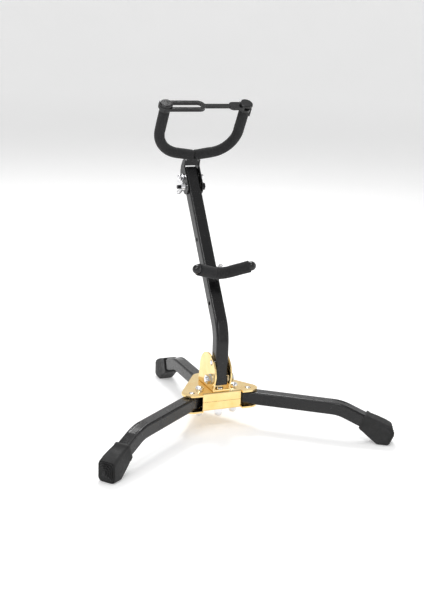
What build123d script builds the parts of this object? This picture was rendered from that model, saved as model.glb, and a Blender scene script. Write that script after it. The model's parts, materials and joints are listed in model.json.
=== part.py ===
"""Folding floor stand for an alto or tenor saxophone.

Millimetres, +Z up, +Y towards the back leg, +X to the player's right.  The
pieces are drawn with the hub's centre bolt on the Z axis.  They are written
with the origin in the middle of the footprint, on the floor.
"""

from build123d import *
import os
from math import cos, sin, tan, radians, sqrt

# ---------------------------------------------------------------- dimensions
tube = 20.0  # square steel tube, outside
tube_wall = 1.5
tube_corner = 3.0
bend_radius = 60.0

hub_sheet = 2.5  # hub plates and the post's bracket
leg_height = 47.0  # centre line of the legs at the hub
leg_gap = 1.5  # between a leg and each hub plate
pivot_x = 28.0  # leg pivot bolts
pivot_y = 9.5
leg_angle = 38.0  # front legs, forward of the X axis
leg_straight = 167.0  # pivot to the corner of the leg's bend
leg_drop = 21.5  # slope of the leg beyond its bend, degrees
leg_tail = 12.0  # leg beyond its pivot, towards the hub
leg_reach = 236.0  # pivot to the end of the tube
back_start = 8.0  # where the back leg's pattern of lengths starts, in Y
fold_angle = 90.0 + leg_angle  # a front leg folds until it lies beside the back leg
button_reach = 22.8  # leg pivot to snap button
button_r = 3.9
button_hole_r = 4.5

lobe_x = 45.0  # hub plate's rounded corners
lobe_y = -3.0
lobe_r = 16.0
tail_y = 60.0
tail_r = 19.0
flange_half = 31.0
flange_y = -13.2
rivet_y = 62.0

ear_outer = 14.0  # post bracket, a U of folded sheet
ear_front = -9.6
ear_back = 50.0
ear_top_front = -16.5
ear_top_back = 46.0
ear_shoulder = 85.0
post_pivot_z = 79.0
post_button_z = 105.0

post_foot_z = 71.0
post_bend_z = 153.0
post_lean = 34.0
post_length = 267.0  # from the corner of the bend to the top
hole_pitch = 52.0  # cross holes for the cradle bolt
first_hole = 45.4
cradle_bolt_u = first_hole + hole_pitch
lock_bolt_u = 239.0
yoke_pivot_u = 256.0

cradle_u = 78.4  # middle of the cradle rod, along and in front of the post
cradle_w = 40.0
cradle_angle = 28.0
cradle_plane_tilt = 5.0
cradle_half = 42.0
cradle_foam_r = 9.0

yoke_u = 280.0  # middle of the yoke rod
yoke_w = 27.0
yoke_tilt = 25.5  # the yoke's plane above square to the post
yoke_half = 64.5
yoke_rise = 10.0  # slope of the yoke's bottom, degrees
yoke_corner = 43.0
yoke_foam_r = 8.2
yoke_arm = 84.5  # end of the foam, up the yoke's plane
yoke_plate = 13.0  # outer face of the yoke bracket's sides
yoke_sheet = 2.0
groove_low = 89.0
groove_high = 94.6
rod_r = 4.0

m8 = 4.0  # bolt radii
m6 = 3.0
m5 = 2.5
running = 0.08  # radial clearance of a turning joint
acorn_m8 = (13.0, 6.5, 8.5)  # across flats, hex height, dome height
acorn_m5 = (8.0, 3.6, 4.6)
m8_head_r = 6.6
m8_head_height = 4.6
centre_head_height = 2.0  # low, to clear the post's foot
spacer_r = 9.0
rivet_head_r = 5.5
rivet_head_height = 2.2

leg_top = leg_height + tube / 2
plate_low_in = leg_height - tube / 2 - leg_gap
plate_top_in = leg_top + leg_gap
hub_bottom = plate_low_in - hub_sheet
hub_top = plate_top_in + hub_sheet
ear_inner = ear_outer - hub_sheet
floor_top = hub_top + hub_sheet

os.makedirs("parts", exist_ok=True)
pieces = {}  # every finished piece by name


def keep(piece, name):
    piece.part.label = name
    pieces[name] = piece.part


# --------------------------------------------------------- frames and shapes
def leg_frame(x, y, heading):
    """Vertical plane along a leg: local X runs outwards, local Y up."""
    a = radians(heading)
    return Plane(origin=(x, y, 0), x_dir=(cos(a), sin(a), 0), z_dir=(sin(a), -cos(a), 0))


# Side view of the leaning post: local X is forward of it, local Y along it.
lean = radians(post_lean)
post_side = Plane(
    origin=(0, 0, post_bend_z), x_dir=(0, -cos(lean), sin(lean)), z_dir=(-1, 0, 0)
)


def on_post(forward, along, x=0.0):
    return post_side.from_local_coords(Vector(forward, along, -x))


def across(forward, along, x):
    """Plane square to X at a place on the post, facing +X."""
    return Plane(origin=on_post(forward, along, x), x_dir=(0, 1, 0), z_dir=(1, 0, 0))


def x_plane(y, z, x):
    return Plane(origin=(x, y, z), x_dir=(0, 1, 0), z_dir=(1, 0, 0))


def flipped(plane):
    return Plane(origin=plane.origin, x_dir=plane.x_dir, z_dir=-plane.z_dir)


def tube_section(path, side, size=tube, wall=tube_wall):
    """Sketch of the square tube at the start of a path."""
    start = Plane(origin=path @ 0, x_dir=side, z_dir=path % 0)
    with BuildSketch(start) as section:
        RectangleRounded(size, size, tube_corner)
        if wall:
            RectangleRounded(size - 2 * wall, size - 2 * wall, tube_corner - wall, mode=Mode.SUBTRACT)
    return section.sketch


def drill(plane, radius, depth):
    """Cut a round hole of a given depth, both ways from a plane."""
    with Locations(plane):
        Cylinder(radius, 2 * depth, mode=Mode.SUBTRACT)


def washer(plane, inner, outer, thick):
    with BuildPart() as ring:
        with BuildSketch(plane):
            Circle(outer)
            Circle(inner, mode=Mode.SUBTRACT)
        extrude(amount=thick)
    return ring.part


def hex_nut(plane, flats, thick, bore):
    with BuildPart() as nut:
        with BuildSketch(plane):
            RegularPolygon(flats / 2, 6, major_radius=False)
            Circle(bore, mode=Mode.SUBTRACT)
        extrude(amount=thick)
    return nut.part


def acorn_nut(plane, sizes, bore):
    """Domed nut standing on a plane, with a blind bore."""
    flats, hex_height, dome_height = sizes
    dome_r = flats / 2 - 0.4
    with BuildPart() as nut:
        with BuildSketch(plane):
            RegularPolygon(flats / 2, 6, major_radius=False)
        extrude(amount=hex_height)
        with BuildSketch(plane.offset(hex_height)):
            Circle(dome_r)
        extrude(amount=dome_height)
        fillet(nut.faces().sort_by(SortBy.AREA).edges().group_by(plane_distance(plane))[-1], dome_r * 0.9)
        with BuildSketch(plane):
            Circle(bore)
        extrude(amount=hex_height + dome_height / 2, mode=Mode.SUBTRACT)
    return nut.part


def plane_distance(plane):
    """Key that orders edges by their distance in front of a plane."""
    return lambda edge: round((edge.center() - plane.origin).dot(plane.z_dir), 3)


def domed_bolt(plane, radius, length, head_r, head_height):
    """Bolt whose head stands on a plane and whose shank runs back from it."""
    with BuildPart() as bolt:
        with BuildSketch(plane):
            Circle(head_r)
        extrude(amount=head_height)
        fillet(bolt.edges().group_by(plane_distance(plane))[-1], head_height * 0.85)
        with BuildSketch(plane):
            Circle(radius)
        extrude(amount=-length)
    return bolt.part


wing_hub_r = 5.2
wing_hub_height = 6.0
wing_half_thick = 1.1


def wing_nut(plane, bore, turn):
    """Wing nut standing on a plane: a tapered hub and two drilled wings."""
    face = Plane(plane.location * Rotation(0, 0, turn))
    upright = Plane(origin=face.origin, x_dir=face.x_dir, z_dir=face.x_dir.cross(face.z_dir))
    with BuildPart() as nut:
        with BuildSketch(face):
            Circle(wing_hub_r)
        extrude(amount=wing_hub_height, taper=8)
        with BuildSketch(upright):
            with BuildLine():
                Polyline(
                    (3.0, 0.8), (4.6, 0.8), (11.4, 6.4), (11.0, 11.4), (7.4, 11.6), (3.0, 5.6), close=True
                )
            make_face()
            fillet(vertices().group_by(Axis.X)[-1] + vertices().group_by(Axis.Y)[-1], 1.0)
            with Locations((8.9, 8.6)):
                Circle(1.3, mode=Mode.SUBTRACT)
            mirror(about=Plane.YZ)
        extrude(amount=wing_half_thick, both=True)
        with BuildSketch(face):
            Circle(bore)
        extrude(amount=wing_hub_height + 2.0, both=True, mode=Mode.SUBTRACT)
    return nut.part


def group(name, solids):
    """Several alike solids in one node."""
    node = Compound(children=[s for s in solids])
    node.label = name
    pieces[name] = node


# -------------------------------------------------------------------- the hub
def plate_outline():
    """Triangular plate with a rounded lobe at each front leg and a long tail."""
    with BuildSketch() as outline:
        with BuildLine():
            CenterArc((lobe_x, lobe_y), lobe_r, 0, 360)
            CenterArc((-lobe_x, lobe_y), lobe_r, 0, 360)
            CenterArc((0, tail_y), tail_r, 0, 360)
        make_hull()
        with Locations((0, flange_y - 20)):
            Rectangle(2 * flange_half + 2, 40, mode=Mode.SUBTRACT)
    return outline.sketch


outline = plate_outline()
flange_height = (hub_top - hub_bottom) / 2 - 0.2
pivots = [(pivot_x, pivot_y), (-pivot_x, pivot_y)]
heading = {"right": -leg_angle, "left": 180 + leg_angle}
side_sign = {"right": 1, "left": -1}
button_at = {
    side: (
        side_sign[side] * (pivot_x + button_reach * cos(radians(leg_angle))),
        pivot_y - button_reach * sin(radians(leg_angle)),
    )
    for side in ("left", "right")
}


def hub_plate(inner_face, direction, name):
    """One hub plate with its half of the folded front flange."""
    skin = Plane.XY.offset(inner_face)
    with BuildPart() as plate:
        with BuildSketch(skin):
            add(outline)
        extrude(amount=direction * hub_sheet)
        with BuildSketch(Plane.XY.offset(inner_face + direction * hub_sheet)):
            with Locations((0, flange_y + hub_sheet / 2)):
                Rectangle(2 * flange_half, hub_sheet)
        extrude(amount=-direction * flange_height)
        outer_z = inner_face + direction * hub_sheet
        bend = plate.edges().filter_by(Axis.X).filter_by_position(
            Axis.Y, flange_y - 0.1, flange_y + 0.1
        ).filter_by_position(Axis.Z, outer_z - 0.1, outer_z + 0.1)
        fillet(bend, 2.2)
        with BuildSketch(skin):
            with Locations(*pivots, (0, 0)):
                Circle(m8 + running)
            with Locations((0, rivet_y)):
                Circle(m6 + running)
            if direction > 0:
                with Locations(*button_at.values()):
                    Circle(button_hole_r)
        extrude(amount=2 * hub_sheet, both=True, mode=Mode.SUBTRACT)
    keep(plate, name)


hub_plate(plate_top_in, 1, "hub_top_plate")
hub_plate(plate_low_in, -1, "hub_bottom_plate")

# U-shaped bracket that holds the foot of the post.
with BuildPart() as post_bracket:
    with BuildSketch(Plane.YZ.offset(ear_inner)):
        with BuildLine():
            Polyline(
                (ear_top_back, ear_shoulder), (ear_back, floor_top), (ear_back, hub_top),
                (ear_front, hub_top), (ear_front, floor_top), (ear_top_front, ear_shoulder),
            )
            ThreePointArc(
                (ear_top_front, ear_shoulder),
                (
                    (ear_top_front + ear_top_back) / 2,
                    ear_shoulder + (ear_top_back - ear_top_front) / 2,
                ),
                (ear_top_back, ear_shoulder),
            )
        make_face()
    extrude(amount=hub_sheet)
    mirror(about=Plane.YZ)
    with BuildSketch(Plane.XY.offset(hub_top)):
        with Locations((0, (ear_front + ear_back) / 2)):
            Rectangle(2 * ear_outer, ear_back - ear_front)
    extrude(amount=hub_sheet)
    folds = post_bracket.edges().filter_by(Axis.Y).filter_by_position(Axis.Z, hub_top - 0.1, hub_top + 0.1)
    fillet(folds.sort_by(Axis.X)[0], 1.8)
    folds = post_bracket.edges().filter_by(Axis.Y).filter_by_position(Axis.Z, hub_top - 0.1, hub_top + 0.1)
    fillet(folds.sort_by(Axis.X)[-1], 1.8)
    drill(Plane.XY.offset(hub_top), m8 + running, 5)
    drill(x_plane(0, post_pivot_z, 0), m8 + running, 20)
    drill(x_plane(0, post_button_z, -ear_outer), button_hole_r, 4)
keep(post_bracket, "post_bracket")

# ------------------------------------------------------------- legs and feet
boot_half = 13.5
boot_rim = 2.0  # rubber thickness at the rim
boot_mouth = 202.0  # the boot's open end, along the leg
sole_heel = 226.0
toe = 244.0  # end of the boot before its stepped tread
toe_height = 31.5
tread_step = 2.0  # each tread stands this much further out
tread_inset = 2.4  # and is this much smaller all round
tread_height = 30.4


def leg_path(frame, start):
    """Centre line of a leg in its own vertical plane."""
    drop = tan(radians(leg_drop))
    with BuildLine(frame) as line:
        FilletPolyline(
            (start, leg_height),
            (leg_straight, leg_height),
            (leg_reach, leg_height - (leg_reach - leg_straight) * drop),
            radius=bend_radius,
        )
    return line.line


def leg_tube(frame, start, name, holes, button=None):
    path = leg_path(frame, start)
    section = tube_section(path, frame.z_dir)
    with BuildPart() as leg:
        add(sweep(section, path=path))
        for x, y, radius in holes:
            drill(Plane(origin=(x, y, leg_height)), radius, tube)
        if button:
            drill(Plane(origin=(button[0], button[1], leg_top)), button_r + 0.15, tube_wall + 1)
    keep(leg, name)


def boot(frame, name):
    """Rubber boot: a wedge with a flat sole and a stepped toe."""
    drop = radians(leg_drop)
    half = tube / 2 + boot_rim

    def beside(reach, offset):
        """Point beside the leg's centre line, above it for a positive offset."""
        z = leg_height - (reach - leg_straight) * tan(drop)
        return (reach + offset * sin(drop), z + offset * cos(drop))

    path = leg_path(frame, leg_straight - 60.0)
    core = tube_section(path, frame.z_dir, size=tube + 0.1, wall=0)
    with BuildPart() as rubber:
        with BuildSketch(frame):
            with BuildLine():
                Polyline(
                    beside(boot_mouth, half), beside(boot_mouth, -half),
                    (sole_heel, 0), (toe, 0), (toe, toe_height), close=True,
                )
            make_face()
        extrude(amount=boot_half, both=True)
        long_edges = rubber.edges().filter_by(GeomType.LINE).filter_by(
            lambda e: abs((e @ 1 - e @ 0).normalized().dot(frame.z_dir)) < 0.1
        )
        uppers = long_edges.filter_by(lambda e: e.center().Z > 4)
        chamfer(uppers, 2.2)
        end_plane = Plane(
            origin=frame.from_local_coords(Vector(toe, 0, 0)), x_dir=frame.z_dir, z_dir=frame.x_dir
        )
        for index in (1, 2, 3):
            inset = tread_inset * index
            with BuildSketch(end_plane.offset((index - 1) * tread_step)):
                with Locations((0, -tread_height / 2)):
                    RectangleRounded(2 * (boot_half - inset), tread_height - 2 * inset, 2.0)
            extrude(amount=tread_step)
        add(sweep(core, path=path), mode=Mode.SUBTRACT)
    keep(rubber, name)


frames = {side: leg_frame(side_sign[side] * pivot_x, pivot_y, heading[side]) for side in heading}
back_frame = leg_frame(0, back_start, 90)
for side, frame in frames.items():
    bolt_hole = (side_sign[side] * pivot_x, pivot_y, m8 + running)
    leg_tube(frame, -leg_tail, f"{side}_leg", [bolt_hole], button_at[side])
    boot(frame, f"{side}_foot")
leg_tube(back_frame, -back_start - 9.0, "back_leg", [(0, 0, m8 + running), (0, rivet_y, m6 + running)])
boot(back_frame, "back_foot")

# ------------------------------------------------------------- hub fasteners
head_plane = Plane.XY.offset(hub_top)
under_plane = Plane(origin=(0, 0, hub_bottom), z_dir=(0, 0, -1))


def at(plane, x, y):
    return Plane(origin=(x, y, plane.origin.Z), x_dir=plane.x_dir, z_dir=plane.z_dir)


shank = hub_top - hub_bottom + 9.0
group("leg_pivot_bolts", [
    domed_bolt(at(head_plane, x, y), m8, shank, m8_head_r, m8_head_height) for x, y in pivots
])
bolt_plane = Plane(origin=(0, 0, floor_top), x_dir=(0, 1, 0))
centre_bolt = domed_bolt(bolt_plane, m8, shank + hub_sheet, m8_head_r, centre_head_height)
group("hub_centre_bolt", [centre_bolt])
group("hub_acorn_nuts", [acorn_nut(at(under_plane, x, y), acorn_m8, m8) for x, y in pivots + [(0, 0)]])

spacer = leg_gap - 0.04
spacers = []
for x, y in pivots:
    spacers.append(washer(Plane(origin=(x, y, plate_top_in - spacer)), m8 + running, spacer_r, spacer))
    spacers.append(washer(Plane(origin=(x, y, plate_low_in)), m8 + running, spacer_r, spacer))
group("leg_spacers", spacers)
spacers = []
for y, bore in ((0, m8 + running), (rivet_y, m6 + running)):
    spacers.append(washer(Plane(origin=(0, y, leg_top)), bore, spacer_r, leg_gap))
    spacers.append(washer(Plane(origin=(0, y, plate_low_in)), bore, spacer_r, leg_gap))
group("back_leg_spacers", spacers)

with BuildPart() as back_leg_rivet:
    with BuildSketch(Plane(origin=(0, rivet_y, hub_bottom), x_dir=(0, 1, 0))):
        Circle(m6)
    extrude(amount=hub_top - hub_bottom)
    for face_z, direction in ((hub_top, 1), (hub_bottom, -1)):
        with BuildSketch(Plane(origin=(0, rivet_y, face_z), x_dir=(0, 1, 0), z_dir=(0, 0, direction))):
            Circle(rivet_head_r)
        extrude(amount=rivet_head_height)
    rims = back_leg_rivet.edges().filter_by(GeomType.CIRCLE).sort_by(Axis.Z)
    fillet([rims[0], rims[-1]], 1.8)
keep(back_leg_rivet, "back_leg_rivet")

# --------------------------------------------------- post pivot and its bolt
outer_washer = 1.6
left_face = flipped(x_plane(0, post_pivot_z, -ear_outer))
right_face = x_plane(0, post_pivot_z, ear_outer)
inner_gap = ear_inner - tube / 2 - 0.04
group("post_pivot_washers", [
    washer(left_face, m8 + running, 8.0, outer_washer),
    washer(right_face, m8 + running, 8.0, outer_washer),
    washer(x_plane(0, post_pivot_z, tube / 2 + 0.02), m8 + running, 8.0, inner_gap),
    washer(flipped(x_plane(0, post_pivot_z, -tube / 2 - 0.02)), m8 + running, 8.0, inner_gap),
])
group("post_pivot_nut", [hex_nut(left_face.offset(outer_washer), 13.0, 6.5, m8)])
with BuildPart() as post_pivot_bolt:
    with BuildSketch(right_face.offset(outer_washer)):
        RegularPolygon(6.5, 6, major_radius=False)
    extrude(amount=5.3)
    with BuildSketch(right_face.offset(outer_washer)):
        Circle(m8)
    extrude(amount=-(2 * ear_outer + 2 * outer_washer + 8.0))
keep(post_pivot_bolt, "post_pivot_bolt")

# ------------------------------------------------------------------- the post
top_y = post_length * sin(lean)
top_z = post_bend_z + post_length * cos(lean)
with BuildLine(Plane.YZ) as post_line:
    FilletPolyline((0, post_foot_z), (0, post_bend_z), (top_y, top_z), radius=bend_radius)
post_path = post_line.line
with BuildPart() as post:
    add(sweep(tube_section(post_path, (1, 0, 0)), path=post_path))
    drill(x_plane(0, post_pivot_z, 0), m8 + running, 20)
    drill(x_plane(0, post_button_z, -tube / 2), button_r + 0.15, tube_wall + 1)
    for along in (first_hole, cradle_bolt_u, first_hole + 2 * hole_pitch, lock_bolt_u):
        drill(across(0, along, 0), m6 + running, 20)
    drill(across(0, yoke_pivot_u, 0), m5 + running, 20)
keep(post, "post")

# Plastic plug in the top of the post.
plug_plane = Plane(origin=on_post(0, post_length), x_dir=(1, 0, 0), z_dir=(0, sin(lean), cos(lean)))
bore = tube - 2 * tube_wall
plug_cap = 2.6
with BuildPart() as post_plug:
    with BuildSketch(plug_plane.offset(-5.0)):
        RectangleRounded(bore - 0.1, bore - 0.1, 1.4)
    extrude(amount=5.0)
    with BuildSketch(plug_plane):
        RectangleRounded(tube, tube, tube_corner)
    extrude(amount=plug_cap)
keep(post_plug, "post_plug")


# -------------------------------------------------------------- snap buttons
def snap_button(plane, outward, name):
    """Button riveted to a folded leaf spring.

    The plane's origin is on the tube's centre line under the button, its X
    runs along the tube and its Y points out of the button's hole.
    """
    roof = tube / 2 - tube_wall
    leaf = 0.7
    with BuildPart() as clip:
        with BuildSketch(plane):
            with BuildLine():
                Polyline(
                    (-5, roof - leaf), (20, roof - leaf), (22, roof - 3),
                    (4, -roof + leaf), (-4, -roof + leaf),
                )
            trace(line_width=leaf)
        extrude(amount=4.0, both=True)
        under = plane.from_local_coords(Vector(0, roof - leaf, 0))
        stud = Plane(origin=under, x_dir=plane.x_dir, z_dir=plane.y_dir)
        with BuildSketch(stud):
            Circle(button_r)
        extrude(amount=outward - roof + leaf)
        fillet(clip.edges().filter_by(GeomType.CIRCLE).group_by(plane_distance(stud))[-1], 1.6)
    keep(clip, name)


button_out = hub_top + 0.8 - leg_height
for side, frame in frames.items():
    spot = frame.from_local_coords(Vector(button_reach, leg_height, 0))
    button_plane = Plane(origin=spot, x_dir=frame.x_dir, z_dir=frame.z_dir)
    snap_button(button_plane, button_out, f"{side}_leg_button")
post_button_out = ear_outer + 0.9
snap_button(
    Plane(origin=(0, 0, post_button_z), x_dir=(0, 0, 1), z_dir=(0, -1, 0)), post_button_out, "post_button"
)

# ----------------------------------------------------------------- the cradle
cradle_sheet = 2.0
cradle_in = tube / 2 + 0.15
cradle_out = cradle_in + cradle_sheet
cradle_arm = sqrt(cradle_w**2 + (cradle_bolt_u - cradle_u) ** 2)
strip_half = 6.0
middle = on_post(cradle_w, cradle_u)
bolt_point = on_post(0, cradle_bolt_u)
reach_dir = (middle - bolt_point).normalized()
# Side view of the bracket: local X runs from the bolt to the rod.
cradle_side = Plane(origin=bolt_point, x_dir=reach_dir, z_dir=(-1, 0, 0))
web_front = cradle_arm - rod_r + 0.2
with BuildPart() as cradle_bracket:
    with BuildSketch(cradle_side.offset(cradle_in)):
        Circle(strip_half)
        with Locations((web_front / 2, 0)):
            Rectangle(web_front, 2 * strip_half)
        Circle(m6 + running, mode=Mode.SUBTRACT)
    extrude(amount=cradle_sheet)
    mirror(about=Plane.YZ)
    with BuildSketch(cradle_side):
        with Locations((web_front - cradle_sheet / 2, 0)):
            Rectangle(cradle_sheet, 2 * strip_half)
    extrude(amount=cradle_out, both=True)
    corners = cradle_bracket.edges().filter_by(
        lambda e: e.geom_type == GeomType.LINE and abs((e @ 1 - e @ 0).dot(reach_dir)) < 1e-3
        and abs((e @ 1 - e @ 0).X) < 1e-3 and (e.center() - bolt_point).dot(reach_dir) > web_front - 0.1
    )
    fillet(corners, 1.8)
tilt = radians(cradle_plane_tilt)
arm_dir = on_post(cos(tilt), sin(tilt)) - on_post(0, 0)
corner_back = 30.0 * (1 / cos(radians(cradle_angle)) - 1)
cradle_plane = Plane(origin=middle, x_dir=(1, 0, 0), z_dir=Vector(1, 0, 0).cross(arm_dir))


def cradle_line(half):
    """The rod's line, a shallow V, out to a half width."""
    rise = half * tan(radians(cradle_angle)) - corner_back
    with BuildLine(cradle_plane) as line:
        FilletPolyline((-half, rise), (0, -corner_back), (half, rise), radius=30.0)
    return line.line


def round_bar(path, outer, inner=0.0):
    """Sweep a round bar or pipe along a path."""
    start = Plane(origin=path @ 0, z_dir=path % 0)
    with BuildSketch(start) as section:
        Circle(outer)
        if inner:
            Circle(inner, mode=Mode.SUBTRACT)
    return sweep(section.sketch, path=path)


rod_line = cradle_line(cradle_half + 1.5)
with BuildPart() as cradle_rod:
    add(round_bar(rod_line, rod_r))
keep(cradle_rod, "cradle_rod")
with BuildPart(mode=Mode.PRIVATE) as weld_seat:
    add(round_bar(rod_line, rod_r + 0.01))
with BuildPart() as seated_bracket:
    add(cradle_bracket.part)
    add(weld_seat.part, mode=Mode.SUBTRACT)
keep(seated_bracket, "cradle_bracket")

with BuildPart() as cradle_foam:
    add(round_bar(cradle_line(cradle_half - 0.5), cradle_foam_r, rod_r + 0.1))
    with BuildSketch(cradle_side):
        with Locations((cradle_arm - 8.0, 0)):
            Rectangle(16.0, 2 * strip_half + 1.0)
    extrude(amount=cradle_out + 0.4, both=True, mode=Mode.SUBTRACT)
keep(cradle_foam, "cradle_foam")


ball_r = 7.2
ball_collar = 2.0


def ball_plug(point, outward):
    """Ball-ended plug pushed over the end of the cradle rod."""
    face = Plane(origin=point, z_dir=outward)
    with BuildPart() as plug:
        with BuildSketch(face):
            Circle(ball_r)
        extrude(amount=ball_collar)
        with Locations(face.offset(ball_collar)):
            Sphere(ball_r)
        with BuildSketch(face):
            Rectangle(20, 20)
        extrude(amount=-10, mode=Mode.SUBTRACT)
        with BuildSketch(face):
            Circle(rod_r)
        extrude(amount=2.5, mode=Mode.SUBTRACT)
    return plug.part


foam_ends = cradle_line(cradle_half - 0.5)
group("cradle_ball_plugs", [
    ball_plug(foam_ends @ 0 - (foam_ends % 0) * 0.05, -(foam_ends % 0)),
    ball_plug(foam_ends @ 1 + (foam_ends % 1) * 0.05, foam_ends % 1),
])

thin_washer = 1.2
cradle_left = flipped(across(0, cradle_bolt_u, -cradle_out))
cradle_right = across(0, cradle_bolt_u, cradle_out)
group("cradle_washers", [
    washer(cradle_left.offset(0.02), m6 + running, 6.2, thin_washer),
    washer(cradle_right.offset(0.02), m6 + running, 6.2, thin_washer),
])
cradle_shank = 2 * cradle_out + 2 * thin_washer + 11.0
group("cradle_bolt", [domed_bolt(cradle_left.offset(thin_washer + 0.04), m6, cradle_shank, 6.0, 3.6)])
cradle_nut_face = cradle_right.offset(thin_washer + 0.06)
group("cradle_wing_nut", [wing_nut(cradle_nut_face, m6 + running, 35)])

# ------------------------------------------------------------------- the yoke
plate_in = yoke_plate - yoke_sheet
slot_arc = yoke_pivot_u - lock_bolt_u
slot_half = 12.0
slot_curve = CenterArc((0, yoke_pivot_u), slot_arc, 270 - slot_half, 2 * slot_half)
web_low = on_post(12.2, 270)
yoke_middle = on_post(yoke_w, yoke_u)
web_dir = (yoke_middle - web_low).normalized()
web_long = (yoke_middle - web_low).length - rod_r
web_plane = Plane(origin=web_low, x_dir=web_dir, z_dir=(-1, 0, 0))
up = radians(yoke_tilt)
yoke_up = on_post(cos(up), sin(up)) - on_post(0, 0)
yoke_plane = Plane(origin=yoke_middle, x_dir=(1, 0, 0), z_dir=Vector(1, 0, 0).cross(yoke_up))


def yoke_line(bottom_radius, arm):
    """The rod's line: a shallow V bottom, round corners and parallel arms."""
    low = yoke_half * tan(radians(yoke_rise))
    with BuildLine(yoke_plane) as line:
        FilletPolyline(
            (-yoke_half, arm), (-yoke_half, low), (0, 0), (yoke_half, low), (yoke_half, arm),
            radius=[yoke_corner, bottom_radius, yoke_corner],
        )
    return line.line


with BuildPart() as yoke_rod:
    add(round_bar(yoke_line(12.0, yoke_arm + 3.0), rod_r))
keep(yoke_rod, "yoke_rod")

with BuildPart() as yoke_bracket:
    with BuildSketch(post_side.offset(plate_in)):
        with BuildLine():
            Polyline(
                (-9.5, 237.4), (-9.5, 260), (-6, 268.5), (1, 275), (12, 279), (18.5, 278.2),
                (20.6, 274.2), (13.2, 268.5), (13.2, 237.4),
            )
            ThreePointArc((13.2, 237.4), (1.85, 226.05), (-9.5, 237.4))
        make_face()
        fillet(vertices().filter_by(lambda v: v.Y > 250 and v.Y < 279 and v.X < 14), 3.0)
        with Locations((0, yoke_pivot_u)):
            Circle(m5 + running, mode=Mode.SUBTRACT)
        SlotArc(slot_curve, 2 * (m6 + running), mode=Mode.SUBTRACT)
    extrude(amount=yoke_sheet)
    mirror(about=Plane.YZ)
    with BuildSketch(web_plane):
        with Locations((web_long / 2, 0)):
            Rectangle(web_long + 0.2, yoke_sheet)
    extrude(amount=plate_in, both=True)
    with Locations(Plane(origin=yoke_middle, z_dir=(1, 0, 0))):
        Cylinder(yoke_foam_r + 0.25, 60, mode=Mode.SUBTRACT)
with BuildPart() as yoke_bracket_joined:
    add(yoke_bracket.part)
    with BuildSketch(web_plane):
        with Locations((web_long - 2.0, 0)):
            Rectangle(6.0, yoke_sheet)
    extrude(amount=8.0, both=True)
    add(round_bar(yoke_line(12.0, yoke_arm), rod_r + 0.01), mode=Mode.SUBTRACT)
keep(yoke_bracket_joined, "yoke_bracket")


def yoke_foam(sign, name):
    """Foam sleeve over one half of the yoke rod."""
    rise = radians(yoke_rise)
    start = yoke_foam_r * tan(rise) + 0.1
    low = yoke_half * tan(rise)
    with BuildLine(yoke_plane) as line:
        FilletPolyline(
            (sign * start * cos(rise), start * sin(rise)),
            (sign * yoke_half, low),
            (sign * yoke_half, yoke_arm),
            radius=yoke_corner,
        )
    with BuildPart() as foam:
        add(round_bar(line.line, yoke_foam_r, rod_r + 0.35))
        with BuildSketch(web_plane):
            with Locations((web_long - 2.0, 0)):
                Rectangle(10.0, yoke_sheet + 0.8)
        extrude(amount=8.4, both=True, mode=Mode.SUBTRACT)
    keep(foam, name)


yoke_foam(-1, "yoke_foam_left")
yoke_foam(1, "yoke_foam_right")


def cap_plane(sign, up_arm):
    """Plane square to a cap's axis at a height up the yoke's plane."""
    spot = yoke_plane.from_local_coords(Vector(sign * yoke_half, up_arm, 0))
    return Plane(origin=spot, x_dir=(1, 0, 0), z_dir=yoke_up)


collar_r = 8.4
disc_r = 10.6
disc_thick = 3.6
neck_r = 4.0


def yoke_cap(sign, name, lug):
    """Mushroom cap: collar on the rod, a neck, and a domed disc."""
    with BuildPart() as cap:
        with BuildSketch(cap_plane(sign, yoke_arm + 0.1)):
            Circle(collar_r)
        extrude(amount=groove_low - yoke_arm - 0.1)
        with BuildSketch(cap_plane(sign, groove_low)):
            Circle(neck_r)
        extrude(amount=groove_high - groove_low)
        with BuildSketch(cap_plane(sign, groove_high)):
            Circle(disc_r)
        extrude(amount=disc_thick)
        rim = cap.edges().filter_by(GeomType.CIRCLE).group_by(plane_distance(cap_plane(sign, 0)))[-1]
        fillet(rim, 2.2)
        if lug:
            with BuildSketch(cap_plane(sign, groove_low)):
                with Locations((sign * 9.4, 0)):
                    Rectangle(1.6, 6.0)
            extrude(amount=-14.0)
            with BuildSketch(cap_plane(sign, groove_low)):
                with Locations((sign * 8.9, 0)):
                    Rectangle(2.6, 6.0)
            extrude(amount=-3.0)
        with BuildSketch(cap_plane(sign, yoke_arm)):
            Circle(rod_r + 0.01)
        extrude(amount=3.0, mode=Mode.SUBTRACT)
    keep(cap, name)


yoke_cap(-1, "strap_pivot_cap", lug=False)
yoke_cap(1, "strap_catch_cap", lug=True)

# Safety strap: a long loop that slides and swings on the left cap's neck.
strap_thick = 4.8
strap_low = (groove_low + groove_high - strap_thick) / 2
bush_r = 5.6
loop_r = 11.0
loop_long = 52.0
bar_half = 2.75
hook_half = 7.5
finger_half = 1.5  # the hook's finger behind the right cap's neck
with BuildPart() as strap_bush:
    with BuildSketch(cap_plane(-1, groove_low + 0.3)):
        Circle(bush_r)
        Circle(neck_r + running, mode=Mode.SUBTRACT)
    extrude(amount=groove_high - groove_low - 0.6)
keep(strap_bush, "strap_bush")

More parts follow.
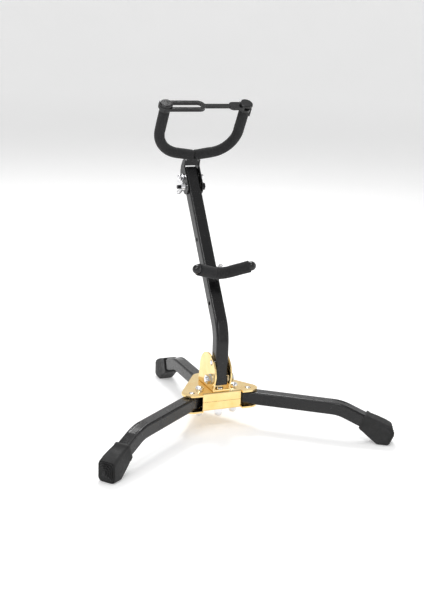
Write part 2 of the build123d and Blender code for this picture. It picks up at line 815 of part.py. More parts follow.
span = 2 * yoke_half
with BuildPart() as safety_strap:
    with BuildSketch(cap_plane(-1, strap_low)):
        with Locations((loop_long / 2, 0)):
            SlotCenterToCenter(loop_long, 2 * loop_r)
        with Locations(((loop_long + span) / 2, 0)):
            Rectangle(span - loop_long - 16, 2 * bar_half)
        with Locations((span - 13.0, 0)):
            SlotCenterToCenter(14.0, 2 * hook_half)
        with Locations((span + 2.0, hook_half - finger_half)):
            SlotCenterToCenter(14.0, 2 * finger_half)
        with Locations((loop_long / 2, 0)):
            SlotCenterToCenter(loop_long, 2 * (bush_r + running), mode=Mode.SUBTRACT)
        with Locations((span + 10.0, -5.0)):
            Rectangle(20.0 + 2 * neck_r + 0.4, 10.0 + 2 * neck_r + 0.4, mode=Mode.SUBTRACT)
        with Locations((span, 0)):
            Circle(neck_r + 0.2, mode=Mode.SUBTRACT)
    extrude(amount=strap_thick)
keep(safety_strap, "safety_strap")

# ----------------------------------------------------------- yoke fasteners
side_gap = plate_in - tube / 2
yoke_washer = 1.0


def both_sides(along, x):
    """Planes facing outwards at the same place on the left and the right."""
    return [flipped(across(0, along, -x)), across(0, along, x)]


inner_washers = []
for along, bore in ((yoke_pivot_u, m5 + running), (lock_bolt_u, m6 + running)):
    for face in both_sides(along, tube / 2 + 0.02):
        inner_washers.append(washer(face, bore, 5.5, side_gap - 0.04))
group("yoke_inner_washers", inner_washers)
group("yoke_outer_washers", [
    washer(face.offset(0.02), m5 + running, 5.5, yoke_washer)
    for face in both_sides(yoke_pivot_u, yoke_plate)
])
acorn_faces = [face.offset(yoke_washer + 0.02) for face in both_sides(yoke_pivot_u, yoke_plate)]
group("yoke_acorn_nuts", [acorn_nut(face, acorn_m5, m5) for face in acorn_faces])
with BuildPart() as yoke_pivot_stud:
    stud_half = yoke_plate + yoke_washer + 5.0
    with BuildSketch(across(0, yoke_pivot_u, 0)):
        Circle(m5)
    extrude(amount=stud_half, both=True)
keep(yoke_pivot_stud, "yoke_pivot_stud")

lock_left, lock_right = both_sides(lock_bolt_u, yoke_plate)
with BuildPart() as yoke_lock_bolt:
    with BuildSketch(lock_right.offset(0.02)):
        RegularPolygon(5.2, 6, major_radius=False)
    extrude(amount=6.5)
    with BuildSketch(lock_right.offset(0.02)):
        Circle(m6)
    extrude(amount=-(2 * yoke_plate + 12.5))
keep(yoke_lock_bolt, "yoke_lock_bolt")
group("yoke_lock_washer", [washer(lock_left.offset(0.02), m6 + running, 5.6, yoke_washer)])
yoke_nut_face = lock_left.offset(yoke_washer + 0.05)
group("yoke_wing_nut", [wing_nut(yoke_nut_face, m6 + running, 80)])

# --------------------------------------------------------- write every piece
whole = Compound(children=[p.moved(Location()) for p in pieces.values()]).bounding_box()
shift = Location((-(whole.min.X + whole.max.X) / 2, -(whole.min.Y + whole.max.Y) / 2, -whole.min.Z))
for name, piece in pieces.items():
    placed = piece.moved(shift)
    placed.label = name
    export_step(placed, f"parts/{name}.step")
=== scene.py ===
"""Looks for the saxophone stand: materials, foam, tubes, boots, buttons, light and camera.

Blender works in metres. Sizes written in millimetres are turned into metres by MM.
"""
import json
from math import cos, pi, radians, sin, tan

import bmesh
import bpy
from mathutils import Matrix, Vector, noise


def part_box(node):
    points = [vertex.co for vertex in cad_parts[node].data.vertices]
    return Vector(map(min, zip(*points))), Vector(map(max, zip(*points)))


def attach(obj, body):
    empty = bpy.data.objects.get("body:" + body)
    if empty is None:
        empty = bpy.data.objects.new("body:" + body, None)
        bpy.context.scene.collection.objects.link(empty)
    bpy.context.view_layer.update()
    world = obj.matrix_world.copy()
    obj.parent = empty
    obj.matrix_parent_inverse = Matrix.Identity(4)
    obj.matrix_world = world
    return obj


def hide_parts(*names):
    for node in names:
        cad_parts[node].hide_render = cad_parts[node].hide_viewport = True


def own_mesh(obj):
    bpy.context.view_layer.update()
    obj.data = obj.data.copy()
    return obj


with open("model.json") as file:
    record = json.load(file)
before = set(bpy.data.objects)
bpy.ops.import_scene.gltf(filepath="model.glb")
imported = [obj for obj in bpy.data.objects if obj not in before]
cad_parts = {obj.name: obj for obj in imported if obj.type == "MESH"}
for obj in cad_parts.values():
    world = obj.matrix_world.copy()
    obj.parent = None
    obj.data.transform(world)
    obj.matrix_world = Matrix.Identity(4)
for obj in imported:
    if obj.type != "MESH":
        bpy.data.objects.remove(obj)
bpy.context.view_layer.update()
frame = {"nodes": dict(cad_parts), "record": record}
nodes = frame["nodes"]

MM = 0.001
NOISE_LOW = 0.3  # nearly all of a noise texture's values lie
NOISE_HIGH = 0.7  # between these two


# ------------------------------------------------------------------ materials
class Shader:
    """A Principled material built node by node, in object space."""

    def __init__(self, name):
        self.material = bpy.data.materials.new(name)
        self.material.use_nodes = True
        self.tree = self.material.node_tree
        self.bsdf = self.tree.nodes["Principled BSDF"]
        self.coords = self.add("ShaderNodeTexCoord").outputs["Object"]
        self.normal = None

    def add(self, kind, **inputs):
        node = self.tree.nodes.new(kind)
        for key, value in inputs.items():
            node.inputs[key.replace("_", " ")].default_value = value
        return node

    def link(self, source, target):
        self.tree.links.new(source, target)

    def set(self, **inputs):
        for key, value in inputs.items():
            self.bsdf.inputs[key.replace("_", " ")].default_value = value

    def noise(self, scale, detail=4.0, rough=0.55, stretch=None):
        node = self.add("ShaderNodeTexNoise", Scale=scale, Detail=detail, Roughness=rough)
        if stretch:
            mapping = self.add("ShaderNodeMapping", Scale=stretch)
            self.link(self.coords, mapping.inputs["Vector"])
            self.link(mapping.outputs["Vector"], node.inputs["Vector"])
        else:
            self.link(self.coords, node.inputs["Vector"])
        return node.outputs["Fac"]

    def cells(self, scale):
        node = self.add("ShaderNodeTexVoronoi", Scale=scale)
        self.link(self.coords, node.inputs["Vector"])
        return node.outputs["Distance"]

    def spread(self, source, low, high):
        node = self.add("ShaderNodeMapRange")
        node.inputs["From Min"].default_value = NOISE_LOW
        node.inputs["From Max"].default_value = NOISE_HIGH
        node.inputs["To Min"].default_value = low
        node.inputs["To Max"].default_value = high
        self.link(source, node.inputs["Value"])
        return node.outputs["Result"]

    def colour(self, source, dark, light):
        node = self.add("ShaderNodeValToRGB")
        stops = ((NOISE_LOW, dark), (NOISE_HIGH, light))
        for element, (place, shade) in zip(node.color_ramp.elements, stops):
            element.position = place
            element.color = (*shade, 1.0)
        self.link(source, node.inputs["Fac"])
        self.link(node.outputs["Color"], self.bsdf.inputs["Base Color"])

    def roughness(self, source, low, high):
        self.link(self.spread(source, low, high), self.bsdf.inputs["Roughness"])

    def bump(self, source, strength, depth):
        node = self.add("ShaderNodeBump", Strength=strength, Distance=depth)
        self.link(source, node.inputs["Height"])
        if self.normal:
            self.link(self.normal, node.inputs["Normal"])
        self.normal = node.outputs["Normal"]
        self.link(self.normal, self.bsdf.inputs["Normal"])


def paint():
    s = Shader("black_paint")
    s.colour(s.noise(40), (0.004, 0.004, 0.0045), (0.007, 0.007, 0.0075))
    s.roughness(s.noise(90, 6), 0.20, 0.30)
    s.set(Specular_IOR_Level=0.42)
    s.bump(s.noise(900, 2), 0.10, 0.0002)
    return s.material


def gold():
    s = Shader("gold_plate")
    s.colour(s.noise(55, 5), (0.90, 0.62, 0.24), (0.97, 0.74, 0.36))
    s.roughness(s.noise(120, 5), 0.12, 0.22)
    s.set(Metallic=1.0)
    s.bump(s.noise(700, 3, stretch=(1.0, 0.25, 1.0)), 0.08, 0.0002)
    return s.material


def metal(name, dark, light, rough, grain):
    s = Shader(name)
    s.colour(s.noise(150, 5), dark, light)
    s.roughness(s.noise(220, 5), *rough)
    s.set(Metallic=1.0)
    s.bump(s.noise(1500, 3), grain, 0.0001)
    return s.material


def rubber():
    s = Shader("rubber")
    s.colour(s.noise(70, 7), (0.007, 0.007, 0.007), (0.015, 0.015, 0.0155))
    s.roughness(s.noise(160, 6), 0.52, 0.72)
    s.set(Specular_IOR_Level=0.4)
    s.bump(s.noise(1800, 4), 0.25, 0.0003)
    return s.material


def foam():
    s = Shader("foam")
    s.colour(s.cells(1500), (0.009, 0.009, 0.0095), (0.024, 0.024, 0.025))
    s.roughness(s.noise(300, 5), 0.78, 0.92)
    s.set(Specular_IOR_Level=0.25, Sheen_Weight=0.06, Sheen_Roughness=0.5)
    s.bump(s.cells(1300), 0.35, 0.0004)
    s.bump(s.noise(260, 4), 0.25, 0.0006)
    return s.material


def plastic(name, dark, light, rough):
    s = Shader(name)
    s.colour(s.noise(60, 6), dark, light)
    s.roughness(s.noise(240, 5), *rough)
    s.set(Specular_IOR_Level=0.5)
    s.bump(s.noise(2600, 3), 0.12, 0.0002)
    return s.material


looks = {
    "black_paint": paint(),
    "gold_plate": gold(),
    "chrome": metal("chrome", (0.72, 0.72, 0.74), (0.86, 0.86, 0.87), (0.08, 0.17), 0.05),
    "black_bolt": metal("black_bolt", (0.020, 0.020, 0.022), (0.045, 0.045, 0.048), (0.30, 0.45), 0.12),
    "zinc": metal("zinc", (0.50, 0.50, 0.51), (0.66, 0.66, 0.67), (0.25, 0.40), 0.10),
    "rubber": rubber(),
    "foam": foam(),
    "black_plastic": plastic("black_plastic", (0.004, 0.004, 0.0045), (0.008, 0.008, 0.0085), (0.14, 0.22)),
    "nylon": plastic("nylon", (0.66, 0.65, 0.60), (0.78, 0.77, 0.72), (0.40, 0.55)),
}
slot_of = {row["node"]: row["material_slot"] for row in frame["record"]["subparts"]}
for name, obj in nodes.items():
    for place in obj.material_slots:
        place.material = looks[slot_of[name]]
    if not obj.material_slots:
        obj.data.materials.append(looks[slot_of[name]])


# -------------------------------------------------------- the stand's frames
HUB_Y = (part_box("hub_centre_bolt")[0][1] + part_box("hub_centre_bolt")[1][1]) / 2  # in metres
LEAN = radians(34.0)  # the post above its bend, from upright
POST_BEND = 153  # height of the bend
POST_LENGTH = 267  # from the bend to the post's top


def on_post(forward, along, x=0.0):
    """Point forward of the post's line and along it, all in mm, in the row frame."""
    return Vector((
        x * MM,
        HUB_Y + (along * sin(LEAN) - forward * cos(LEAN)) * MM,
        POST_BEND * MM + (forward * sin(LEAN) + along * cos(LEAN)) * MM,
    ))


def in_plane(origin, tilt):
    """Function from mm in a plane that holds X and leans by tilt to a point."""
    up = on_post(cos(tilt), sin(tilt)) - on_post(0, 0)
    return lambda x, y: origin + Vector((x * MM, 0, 0)) + up * y


YOKE_HALF = 64.5  # from the middle to an arm's line
YOKE_ARM = 84.5  # height of an arm's end
YOKE_RISE = radians(10.0)
YOKE_BEND = 43.0
YOKE_FOAM = 8.2  # radius of the foam
YOKE_AT = (27.0, 280.0)  # forward of the post's line, and along it
YOKE_TILT = radians(25.5)
yoke_point = in_plane(on_post(*YOKE_AT), YOKE_TILT)

CRADLE_HALF = 41.5
CRADLE_BEND = 30.0
CRADLE_RISE = radians(28.0)
CRADLE_FOAM = 9.0
CRADLE_AT = (40.0, 78.4)
CRADLE_TILT = radians(5.0)
cradle_point = in_plane(on_post(*CRADLE_AT), CRADLE_TILT)


def rounded_line(corners, radii, spacing):
    """Places along a line in a plane, with its inner corners rounded.

    Returns (point, heading, curvature) for each place, with curvature in 1/mm.
    """
    pieces = []
    start = Vector(corners[0])
    for index in range(1, len(corners) - 1):
        here, after = Vector(corners[index]), Vector(corners[index + 1])
        into = (here - Vector(corners[index - 1])).normalized()
        out = (after - here).normalized()
        turn = into.angle_signed(out)
        radius = radii[index - 1]
        back = radius * tan(abs(turn) / 2)
        pieces.append(("line", start, here - into * back))
        pieces.append(("arc", here - into * back, into, turn, radius))
        start = here + out * back
    pieces.append(("line", start, Vector(corners[-1])))
    found = []
    for piece in pieces:
        if piece[0] == "line":
            _, a, b = piece
            count = max(2, round((b - a).length / spacing))
            found += [(a.lerp(b, i / count), (b - a).normalized(), 0.0) for i in range(count)]
        else:
            _, a, into, turn, radius = piece
            count = max(3, round(abs(turn) * radius / spacing))
            side = Vector((-into.y, into.x)) * (-1 if turn > 0 else 1)
            for i in range(count):
                angle = turn * i / count
                spin = Matrix.Rotation(-angle, 2)
                centre = a + side * radius
                found.append((centre + spin @ (a - centre), spin @ into, -turn / abs(turn) / radius))
    last = Vector(corners[-1])
    found.append((last, found[-1][1], 0.0))
    return found


def new_object(name, verts, faces):
    """Object from points and faces, its normals all outwards."""
    mesh = bpy.data.meshes.new(name)
    mesh.from_pydata([tuple(v) for v in verts], [], faces)
    work = bmesh.new()
    work.from_mesh(mesh)
    bmesh.ops.recalc_face_normals(work, faces=work.faces)
    work.to_mesh(mesh)
    work.free()
    obj = bpy.data.objects.new(name, mesh)
    bpy.context.scene.collection.objects.link(obj)
    return obj


def finish_piece(obj, look, body, node):
    """Shade a piece, give it its material and put it in the CAD node's place."""
    obj.data.materials.clear()
    obj.data.materials.append(looks[look])
    obj.data.shade_smooth()
    obj.data.set_sharp_from_angle(angle=radians(50))
    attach(obj, body)
    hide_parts(node)


FOAM_STEP = 0.7  # along the sleeve
FOAM_SIDES = 48
END_LENGTH = 1.6  # how much of each end is drawn in
END_DRAW = 0.10  # share of the radius that an end loses
FOLD_RATE = 0.95
FOLD_DEPTH = 0.55
GRAIN_DEPTH = 0.16
SWELL = 0.22


def foam_sleeve(name, place, corners, radii, radius, body, node, seed):
    """Foam pipe with fine ring wrinkles where it bends, as a closed mesh."""
    line = rounded_line(corners, radii, FOAM_STEP)
    normal = (place(1, 0) - place(0, 0)).cross(place(0, 1) - place(0, 0)).normalized()
    verts, faces = [], []
    total = len(line) - 1
    for index, (spot, heading, curve) in enumerate(line):
        here = place(spot.x, spot.y)
        side = (place(spot.x - heading.y, spot.y + heading.x) - here) / MM
        run = index * FOAM_STEP
        end = min(run, (total - index) * FOAM_STEP)
        squeeze = 1.0 - END_DRAW * max(0.0, 1.0 - end / END_LENGTH) ** 2
        for step in range(FOAM_SIDES):
            angle = 2 * pi * step / FOAM_SIDES
            inward = cos(angle)
            depth = 0.0
            if curve:
                inner = max(0.0, inward * (1 if curve > 0 else -1))
                wave = noise.noise(Vector((run * 0.9, seed, angle * 0.35)))
                fold = abs(sin(run * FOLD_RATE + 1.5 * wave))
                depth = FOLD_DEPTH * inner * (1.0 - fold) + GRAIN_DEPTH * (0.5 + wave)
            swell = SWELL * noise.noise(Vector((run * 0.06, seed + 5, angle * 0.4)))
            reach = (radius * squeeze - depth + swell) * MM
            verts.append(here + (side * cos(angle) + normal * sin(angle)) * reach)
    for ring in range(total):
        for step in range(FOAM_SIDES):
            a = ring * FOAM_SIDES + step
            b = ring * FOAM_SIDES + (step + 1) % FOAM_SIDES
            faces.append((a, b, b + FOAM_SIDES, a + FOAM_SIDES))
    faces.append(tuple(range(FOAM_SIDES))[::-1])
    faces.append(tuple(range(total * FOAM_SIDES, (total + 1) * FOAM_SIDES)))
    obj = new_object(name, verts, faces)
    finish_piece(obj, "foam", body, node)


cradle_back = CRADLE_BEND * (1 / cos(CRADLE_RISE) - 1)
cradle_end = CRADLE_HALF * tan(CRADLE_RISE) - cradle_back
foam_sleeve(
    "cradle_foam_sleeve", cradle_point,
    [(-CRADLE_HALF, cradle_end), (0, -cradle_back), (CRADLE_HALF, cradle_end)],
    [CRADLE_BEND], CRADLE_FOAM, "cradle", "cradle_foam", 3,
)
foam_start = YOKE_FOAM * tan(YOKE_RISE) + 0.1
for sign, side in ((-1, "left"), (1, "right")):
    foam_sleeve(
        f"yoke_foam_sleeve_{side}", yoke_point,
        [
            (sign * foam_start * cos(YOKE_RISE), foam_start * sin(YOKE_RISE)),
            (sign * YOKE_HALF, YOKE_HALF * tan(YOKE_RISE)),
            (sign * YOKE_HALF, YOKE_ARM),
        ],
        [YOKE_BEND], YOKE_FOAM, "yoke", f"yoke_foam_{side}", 11 + sign,
    )


# -------------------------------------------------------- square tubes
TUBE = 20.0  # the tube's outer width
WALL = 1.5
CORNER = 3.0
BEND = 60.0
RING_STEP = 1.6  # along the tube
FLAT_STEPS = 16  # points along a flat side
CORNER_STEPS = 6  # points round a corner
DENT_REACH = 15.0  # each way from the middle of the bend
DENT_HALF = 7.0
DENT_DEPTH = 1.15


def square_loop(size, corner):
    """Points (across, out) round a rounded square, dense enough to take a dent."""
    half = size / 2
    flat = half - corner
    loop = []
    for quarter in range(4):
        spin = Matrix.Rotation(quarter * pi / 2, 2)
        loop += [spin @ Vector((flat - 2 * flat * i / FLAT_STEPS, half)) for i in range(FLAT_STEPS)]
        for i in range(CORNER_STEPS):
            angle = i * pi / (2 * CORNER_STEPS)
            loop.append(spin @ (Vector((-flat, flat)) + corner * Vector((-sin(angle), cos(angle)))))
    return loop


def dent_depth(across, from_bend):
    """The outer face sinks between two creases where the tube was bent."""
    share = from_bend / DENT_REACH
    if abs(share) >= 1.0:
        return 0.0
    fade = 1.0 - share * share
    edge = DENT_HALF - 1.2 * share * share
    step = min(1.0, max(0.0, (edge - abs(across)) / 1.5))
    return DENT_DEPTH * fade * step * step * (3 - 2 * step)


def square_tube(name, place, side, corners, body, node, holes):
    """Bent square tube as a closed mesh, with round holes bored through it."""
    line = rounded_line(corners, [BEND], RING_STEP)
    turns = [i for i, row in enumerate(line) if row[2]]
    run = [0.0]
    for before, after in zip(line, line[1:]):
        run.append(run[-1] + (after[0] - before[0]).length)
    bend_run = (run[turns[0]] + run[turns[-1]]) / 2
    outward = -1 if line[turns[0]][2] > 0 else 1
    outer, inner = square_loop(TUBE, CORNER), square_loop(TUBE - 2 * WALL, CORNER - WALL)
    count = len(outer)
    verts, faces = [], []
    for loop, wall in ((outer, 0.0), (inner, WALL)):
        for (spot, heading, _), distance in zip(line, run):
            here = place(spot.x, spot.y)
            out = (place(spot.x - heading.y * outward, spot.y + heading.x * outward) - here) / MM
            for point in loop:
                reach = point.y
                if point.y > TUBE / 2 - WALL - 0.6:
                    reach -= dent_depth(point.x, distance - bend_run)
                verts.append(here + (side * point.x + out * reach) * MM)
    rings = len(line)
    for layer in (0, rings):
        for ring in range(rings - 1):
            for step in range(count):
                a = (layer + ring) * count + step
                b = (layer + ring) * count + (step + 1) % count
                faces.append((a, b, b + count, a + count))
    for ring in (0, rings - 1):
        for step in range(count):
            a, b = ring * count + step, ring * count + (step + 1) % count
            faces.append((a, b, b + rings * count, a + rings * count))
    obj = new_object(name, verts, faces)
    bore(obj, holes)
    finish_piece(obj, "black_paint", body, node)


def bore(obj, holes):
    """Cut round holes: each is (middle, axis, radius, length) in metres."""
    work = bmesh.new()
    for middle, axis, radius, length in holes:
        turn = axis.to_track_quat("Z", "Y").to_matrix().to_4x4()
        bmesh.ops.create_cone(
            work, cap_ends=True, segments=32, radius1=radius, radius2=radius, depth=length,
            matrix=Matrix.Translation(middle) @ turn,
        )
    mesh = bpy.data.meshes.new("bores")
    work.to_mesh(mesh)
    work.free()
    cutter = bpy.data.objects.new("bores", mesh)
    bpy.context.scene.collection.objects.link(cutter)
    cut = obj.modifiers.new("bores", "BOOLEAN")
    cut.object = cutter
    cut.operation = "DIFFERENCE"
    cut.solver = "EXACT"
    bake(obj)
    bpy.data.objects.remove(cutter)


def bake(obj):
    """Replace the object's mesh by what its modifiers make of it."""
    graph = bpy.context.evaluated_depsgraph_get()
    mesh = bpy.data.meshes.new_from_object(obj.evaluated_get(graph))
    obj.modifiers.clear()
    obj.data = mesh


# ------------------------------------------------------------ boots and plug
def round_corners(wide, high, corner):
    """Points (x, y) round a rounded rectangle, where wide and high are half its sides."""
    points = []
    for sx, sy, first in ((1, 1, 0), (-1, 1, 1), (-1, -1, 2), (1, -1, 3)):
        for i in range(CORNER_STEPS + 1):
            angle = first * pi / 2 + i * pi / 2 / CORNER_STEPS
            x = sx * (wide - corner) + corner * cos(angle)
            points.append((x, sy * (high - corner) + corner * sin(angle)))
    return points


def rounded_ring(low, high, half, corner, place, across):
    """Points round a rounded rectangle whose middle line runs from low to high in a leg's plane."""
    (r0, z0), (r1, z1) = low, high
    height = ((r1 - r0) ** 2 + (z1 - z0) ** 2) ** 0.5
    ring = []
    for x, y in round_corners(half, height / 2, corner):
        share = 0.5 + y / height
        ring.append(place(r0 + (r1 - r0) * share, z0 + (z1 - z0) * share) + across * (x * MM))
    return ring


def loft(rings):
    """Points and faces of a closed skin through rings of equal length."""
    count = len(rings[0])
    verts = [point for ring in rings for point in ring]
    faces = []
    for ring in range(len(rings) - 1):
        for i in range(count):
            a, b = ring * count + i, ring * count + (i + 1) % count
            faces.append((a, b, b + count, a + count))
    faces.append(tuple(range(count))[::-1])
    faces.append(tuple(range(len(verts) - count, len(verts))))
    return verts, faces


# Sections of a boot from the tube's mouth to the toe, in the leg's plane: its
# lower point and its upper point (out from the pivot, up), half its width, its corner.
BOOT_SECTIONS = (
    ((198.4, 23.6), (205.8, 42.8), 10.3, 2.6),
    ((197.7, 22.3), (206.3, 44.2), 11.6, 3.0),
    ((198.2, 21.4), (207.2, 44.3), 12.0, 3.2),
    ((201.4, 18.2), (210.4, 43.0), 12.0, 3.2),
    ((202.0, 18.2), (210.9, 42.3), 11.6, 3.2),
    ((213.0, 9.6), (222.5, 38.9), 12.4, 3.6),
    ((225.0, 0.9), (234.0, 34.9), 13.2, 4.2),
    ((226.6, 0.0), (235.0, 34.5), 13.3, 4.4),
    ((241.5, 0.0), (242.5, 31.2), 13.5, 5.5),
    ((244.0, 0.6), (244.0, 30.4), 13.3, 6.2),
)
TOE = 244.0  # where the toe's flat face stands
TOE_HEIGHT = 31.0
TOE_HALF = 13.9
TOE_CORNER = 6.2
SOLE_GAP = 0.6  # the toe's face starts this far above the floor
GROOVE = 0.9  # each tread starts this far behind the face before it
TREADS = 5
TREAD_INSET = 2.5  # each tread is this much smaller all round
TREAD_OUT = 6.0  # how far the treads stand out in all


def boot(name, place, across, body, node):
    """Rubber boot: flat sole, moulded lip, and a toe of concentric stepped treads."""
    rings = [rounded_ring(*section, place, across) for section in BOOT_SECTIONS]
    rise = TREAD_OUT / TREADS
    for tread in range(TREADS):
        reach = TOE + rise * tread
        corner = max(1.0, TOE_CORNER - 1.1 * tread)
        for out, inset in ((-GROOVE, 0.5), (-GROOVE, 1.1), (rise - 0.3, 1.2), (rise, 1.5)):
            edge = SOLE_GAP + TREAD_INSET * tread + inset
            low, high = (reach + out, edge), (reach + out, TOE_HEIGHT - edge)
            rings.append(rounded_ring(low, high, TOE_HALF - edge, corner, place, across))
    obj = new_object(name, *loft(rings))
    finish_piece(obj, "rubber", body, node)


def domed_plug():
    """Square plastic plug with a low crown in the top of the post."""
    # above the post's top, half width and corner of each section
    sections = (
        (-5, 8.4, 1.4), (0, 8.4, 1.4), (0.05, 9.7, 2.7), (0.4, 10.0, 3.0), (1.2, 9.95, 3.0),
        (1.9, 9.5, 3.2), (2.4, 8.4, 3.4), (2.75, 6.0, 3.2), (2.9, 3.4, 2.4),
    )
    rings = [
        [on_post(y, POST_LENGTH + above, x) for x, y in round_corners(half, half, corner)]
        for above, half, corner in sections
    ]
    obj = new_object("post_plug_cap", *loft(rings))
    finish_piece(obj, "black_plastic", "post", "post_plug")


X_AXIS = Vector((1, 0, 0))
Z_AXIS = Vector((0, 0, 1))
THROUGH = 0.03  # metres, longer than the tube is thick
ONE_WALL = 0.01  # metres, through one wall only
M8_HOLE = 4.08  # radii, in mm
M6_HOLE = 3.08
M5_HOLE = 2.58
BUTTON_HOLE = 4.05


def upright(y, z):
    """Point in the stand's plane of symmetry, in mm from the hub."""
    return Vector((0, HUB_Y + y * MM, z * MM))


POST_FOOT = 71
POST_PIVOT = 79
POST_BUTTON = 105
YOKE_STUD = 256  # along the post from its bend, as are the heights in M6_PLACES
M6_PLACES = (45.4, 97.4, 149.4, 239)

post_top = (POST_LENGTH * sin(LEAN), POST_BEND + POST_LENGTH * cos(LEAN))
post_holes = [
    (upright(0, POST_PIVOT), X_AXIS, M8_HOLE * MM, THROUGH),
    (on_post(0, YOKE_STUD), X_AXIS, M5_HOLE * MM, THROUGH),
]
post_holes += [(on_post(0, along), X_AXIS, M6_HOLE * MM, THROUGH) for along in M6_PLACES]
post_holes.append((upright(0, POST_BUTTON) - X_AXIS * 0.01, X_AXIS, BUTTON_HOLE * MM, ONE_WALL))
square_tube(
    "post_tube", upright, X_AXIS, [(0, POST_FOOT), (0, POST_BEND), post_top], "post", "post", post_holes
)

LEG_Z = 47.0  # height of a leg's level part
LEG_LEVEL = 167.0  # where a leg starts to slope down
LEG_END = 236.0
LEG_DROP = tan(radians(21.5))
LEG_BUTTON = 22.8
RIVET = 54.0
for name, x, y, angle, start, body in (
    ("left", -28.0, 9.5, 218.0, -12.0, "left_leg"),
    ("right", 28.0, 9.5, -38.0, -12.0, "right_leg"),
    ("back", 0.0, 8.0, 90.0, -17.0, "hub"),
):
    foot = Vector((x * MM, HUB_Y + y * MM, 0))
    along = Vector((cos(radians(angle)), sin(radians(angle)), 0))
    across = along.cross(Z_AXIS)

    def beside(reach, height, foot=foot, along=along):
        return foot + along * (reach * MM) + Z_AXIS * (height * MM)

    if name == "back":
        spots = [(-8.0, M8_HOLE), (RIVET, M6_HOLE)]
    else:
        spots = [(0.0, M8_HOLE)]
    leg_holes = [(beside(reach, LEG_Z), Z_AXIS, radius * MM, THROUGH) for reach, radius in spots]
    if name != "back":
        leg_holes.append((beside(LEG_BUTTON, LEG_Z + TUBE / 2), Z_AXIS, BUTTON_HOLE * MM, ONE_WALL))
    leg_end = (LEG_END, LEG_Z - (LEG_END - LEG_LEVEL) * LEG_DROP)
    square_tube(
        f"{name}_leg_tube", beside, across,
        [(start, LEG_Z), (LEG_LEVEL, LEG_Z), leg_end], body, f"{name}_leg", leg_holes,
    )
    boot(f"{name}_boot", beside, across, body, f"{name}_foot")


domed_plug()


def spring_clip(node, body):
    """Snap button with its leaf spring: a chrome copy of the CAD piece, put in its place.
    """
    obj = bpy.data.objects.new(f"{node}_clip", nodes[node].data.copy())
    bpy.context.scene.collection.objects.link(obj)
    finish_piece(obj, "chrome", body, node)
    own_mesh(obj)


spring_clip("left_leg_button", "left_leg")
spring_clip("right_leg_button", "right_leg")
spring_clip("post_button", "post")


# ------------------------------------------------------------- softened edges
def soften(name, width):
    """Round the sharp edges of a CAD piece a little, so that they catch the light."""
    obj = nodes[name]
    flat = obj.modifiers.new("flat", "DECIMATE")
    flat.decimate_type = "DISSOLVE"
    flat.angle_limit = radians(1.0)
    edge = obj.modifiers.new("edge", "BEVEL")
    edge.limit_method = "ANGLE"
    edge.angle_limit = radians(40)
    edge.width = width
    edge.segments = 2
    edge.use_clamp_overlap = True
    edge.harden_normals = False


for name in ("hub_top_plate", "hub_bottom_plate", "post_bracket"):
    soften(name, 0.4 * MM)
for name in ("safety_strap", "yoke_bracket", "cradle_bracket"):
    soften(name, 0.5 * MM)


# --------------------------------------------------------- floor and lighting
def floor():
    """Pale floor that curves up into a wall all round, far from the stand."""
    radius, curve, height, sides, steps = 7.0, 2, 5.0, 96, 8
    profile = [(0.0, 0.0)] + [(radius * i / steps, 0.0) for i in range(1, steps + 1)]
    for i in range(1, steps + 1):
        angle = i * pi / (2 * steps)
        profile.append((radius + curve * sin(angle), curve - curve * cos(angle)))
    profile.append((radius + curve, height))
    verts, faces = [], []
    for reach, z in profile:
        for i in range(sides):
            angle = 2 * pi * i / sides
            verts.append((reach * cos(angle), reach * sin(angle), z))
    for ring in range(len(profile) - 1):
        for i in range(sides):
            a, b = ring * sides + i, ring * sides + (i + 1) % sides
            faces.append((a, b, b + sides, a + sides))
    mesh = bpy.data.meshes.new("floor")
    mesh.from_pydata(verts, [], faces)
    mesh.shade_smooth()
    obj = bpy.data.objects.new("floor", mesh)
    bpy.context.scene.collection.objects.link(obj)
    s = Shader("floor")
    s.colour(s.noise(3), (0.84, 0.84, 0.84), (0.86, 0.86, 0.86))
    s.set(Roughness=0.9, Specular_IOR_Level=0.1, Emission_Color=(1, 1, 1, 1), Emission_Strength=0.24)
    mesh.materials.append(s.material)


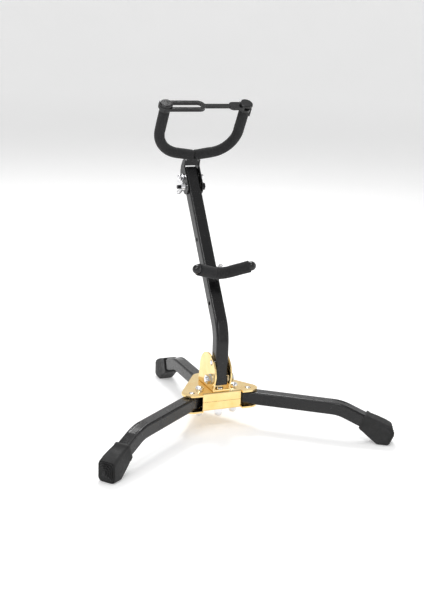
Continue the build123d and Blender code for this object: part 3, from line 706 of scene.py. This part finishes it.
def area_light(name, place, aim, size, power):
    """Rectangular light at place that faces aim, with its size in metres and power in watts."""
    data = bpy.data.lights.new(name, "AREA")
    data.shape = "RECTANGLE"
    data.size, data.size_y = size
    data.energy = power
    obj = bpy.data.objects.new(name, data)
    obj.location = place
    obj.rotation_euler = (Vector(aim) - Vector(place)).to_track_quat("-Z", "Y").to_euler()
    bpy.context.scene.collection.objects.link(obj)


floor()
middle = (0, 0, 0.2)
area_light("key", (-1.5, -1.0, 1.6), middle, (0.5, 1.0), 9)
area_light("fill", (1.9, -1.2, 1.0), middle, (0.5, 1.4), 6)
area_light("back", (0.35, 1.3, 2.1), middle, (0.7, 0.7), 30)
area_light("top", (0.0, -0.2, 2.6), middle, (1.0, 1.0), 6)
area_light("spark", (-0.7, -1.3, 1.9), (0, 0, 0.35), (0.22, 0.22), 7)
world = bpy.data.worlds.new("studio")
world.use_nodes = True
world.node_tree.nodes["Background"].inputs["Color"].default_value = (1.0, 1.0, 1.0, 1.0)
world.node_tree.nodes["Background"].inputs["Strength"].default_value = 0.5
bpy.context.scene.world = world
bpy.context.scene.view_settings.view_transform = "Standard"

# --------------------------------------------------------------------- camera
FOCAL = 1.7491667  # focal length as a share of the picture's longer side
SENSOR = 36.0
AIM_RIGHT = 0.0108623  # slopes that turn the camera a little from the stand's middle
AIM_UP = 0.0300143
camera_at = Vector((-0.5996, HUB_Y - 1.3863, 0.6059))
aim_at = Vector((0, HUB_Y, 0.25))
forward = (aim_at - camera_at).normalized()
right = forward.cross(Z_AXIS).normalized()
up = right.cross(forward)
roll = radians(2.1)
right, up = right * cos(roll) + up * sin(roll), up * cos(roll) - right * sin(roll)
forward = (forward - right * AIM_RIGHT - up * AIM_UP).normalized()
right = forward.cross(up).normalized()
up = right.cross(forward)
camera_data = bpy.data.cameras.new("camera")
camera_data.sensor_width = SENSOR
camera_data.lens = FOCAL * SENSOR
camera = bpy.data.objects.new("camera", camera_data)
turn = Matrix((right, up, -forward)).transposed()
camera.matrix_world = Matrix.Translation(camera_at) @ turn.to_4x4()
bpy.context.scene.collection.objects.link(camera)
bpy.context.scene.camera = camera
